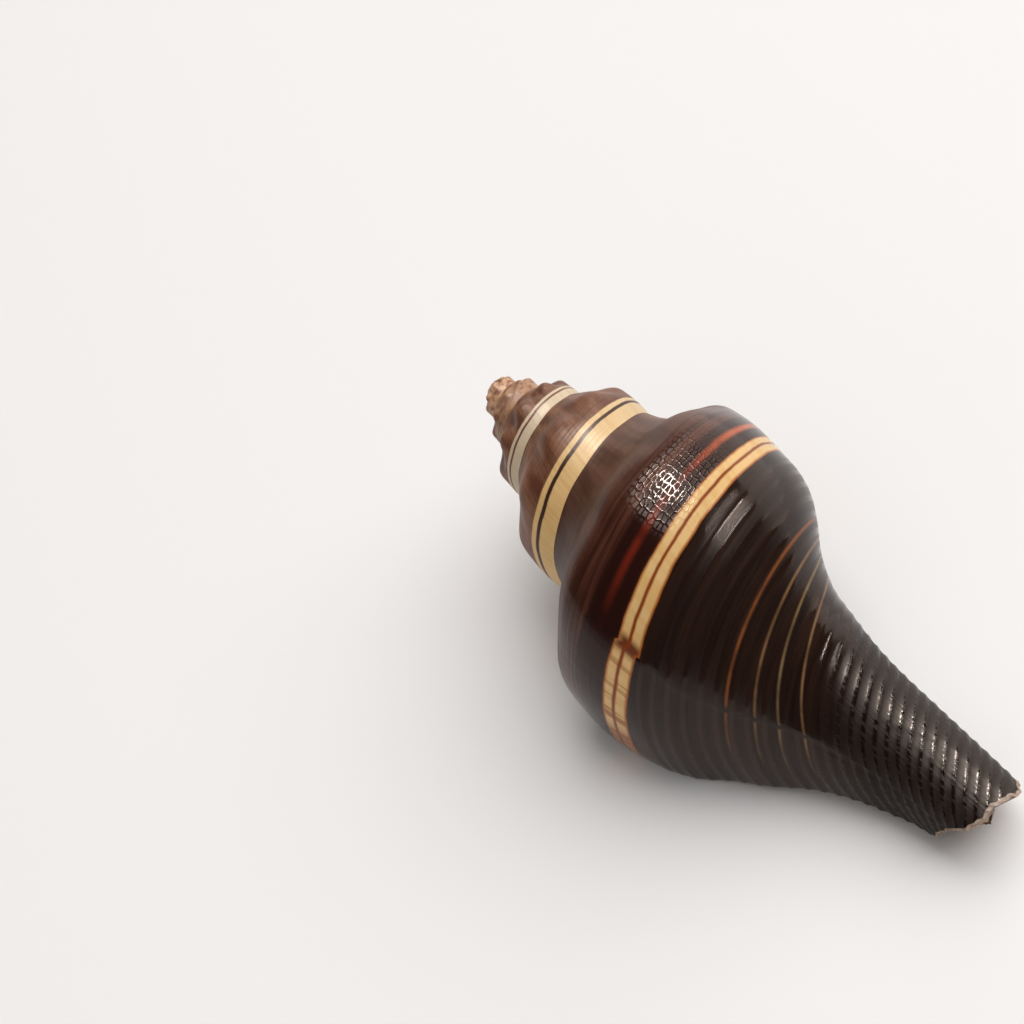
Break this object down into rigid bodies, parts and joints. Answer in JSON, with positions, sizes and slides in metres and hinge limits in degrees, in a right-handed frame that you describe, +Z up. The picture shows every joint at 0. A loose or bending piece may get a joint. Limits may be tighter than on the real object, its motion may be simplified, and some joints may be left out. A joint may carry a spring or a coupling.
{
  "type": "pugilina shell",
  "caption": "Polished dark brown spiral sea snail shell with cream bands, low knobs, an open aperture and a long canal, lying on its aperture side.",
  "frame": {"origin": "on the surface the shell lies on, under the middle of its bounding box", "axes": "+Z up; X along the shell's length as it lies, the apex at -X and the canal's end at +X; the aperture faces down and a little to -Y"},
  "size_m": [0.1106, 0.05, 0.0415],
  "materials": {
    "shell": "polished, glossy dark red-brown with cream bands"
  },
  "bodies": {
    "root": {"shell": "shell"}
  },
  "joints": []
}
